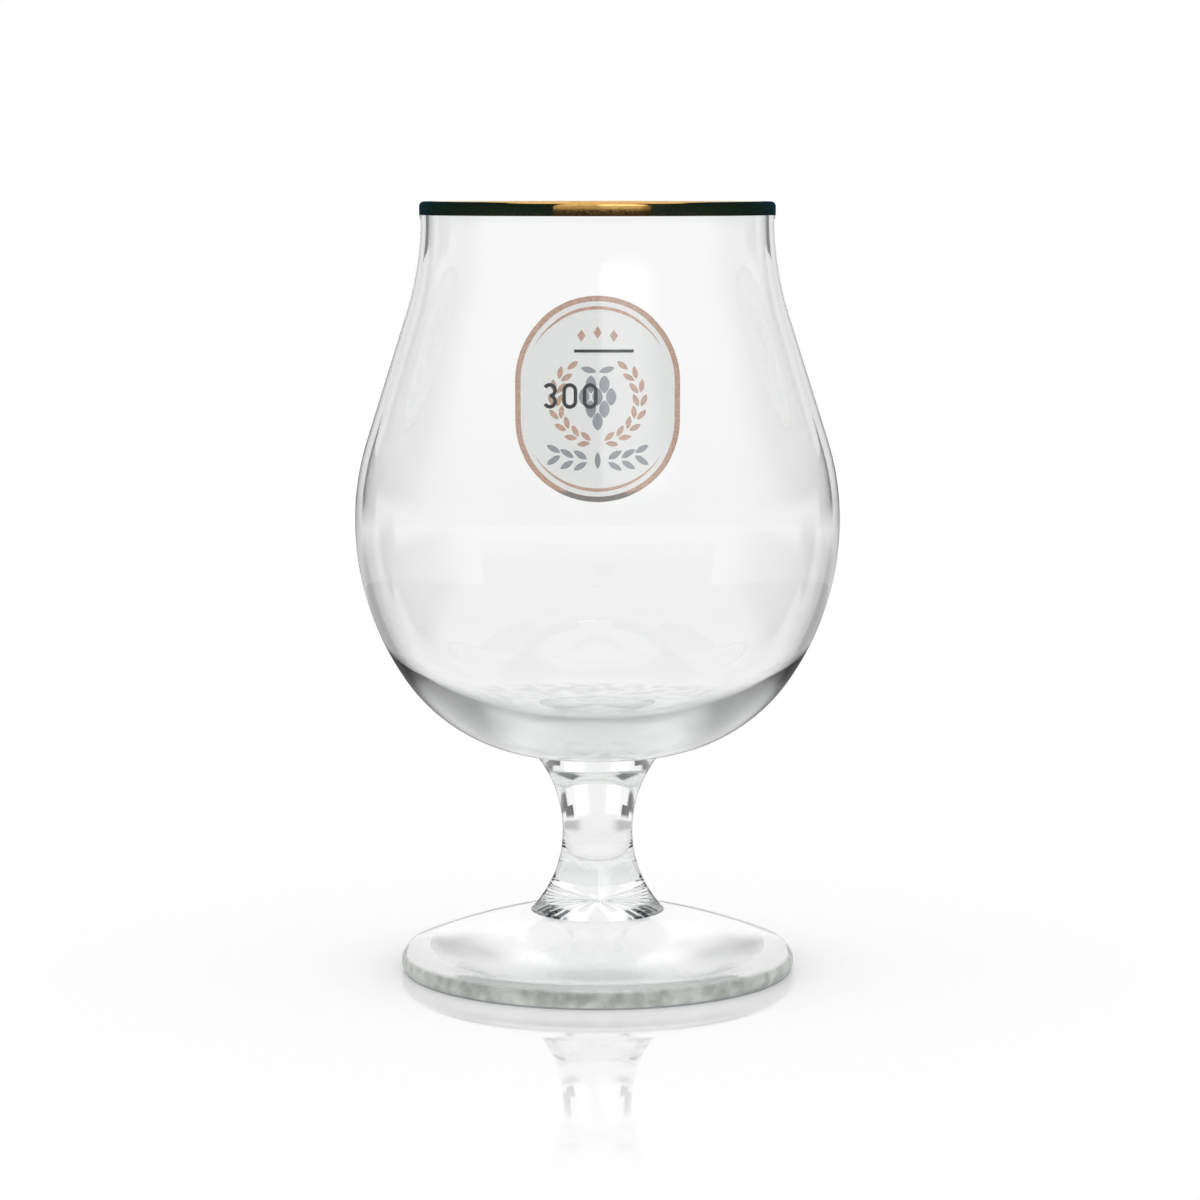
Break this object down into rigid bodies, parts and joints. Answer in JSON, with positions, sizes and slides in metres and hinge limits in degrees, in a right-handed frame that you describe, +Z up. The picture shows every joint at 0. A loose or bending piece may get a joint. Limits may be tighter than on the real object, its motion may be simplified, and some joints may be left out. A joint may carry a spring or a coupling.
{
  "type": "balloon beer glass",
  "caption": "Stemmed balloon beer glass with a bulging bowl, short waisted stem, round foot, gilded rim, oval printed label and fill line.",
  "frame": {"origin": "centre of the base, on the surface that the glass stands on", "axes": "+Z up along the turning axis, label facing +Y, fill mark facing -Y"},
  "size_m": [0.0862, 0.0863, 0.1375],
  "materials": {
    "clear_glass": "fire-polished clear soda-lime glass",
    "gilding": "bright fired gold",
    "printed_gold": "fired gold print, satin seen through the glass",
    "pale_enamel": "thin translucent fired enamel",
    "grey_enamel": "fired enamel print",
    "dark_enamel": "fired enamel print"
  },
  "bodies": {
    "root": {"bowl": "clear_glass", "stem": "clear_glass", "foot": "clear_glass", "rim_gilding": "gilding", "label_ground": "pale_enamel", "label_border": "printed_gold", "label_upper_line": "printed_gold", "label_lower_line": "printed_gold", "label_barley": "printed_gold", "label_hop_cone": "grey_enamel", "label_leaves": "grey_enamel", "label_lozenges": "printed_gold", "fill_line": "dark_enamel", "fill_numerals": "dark_enamel"}
  },
  "joints": []
}
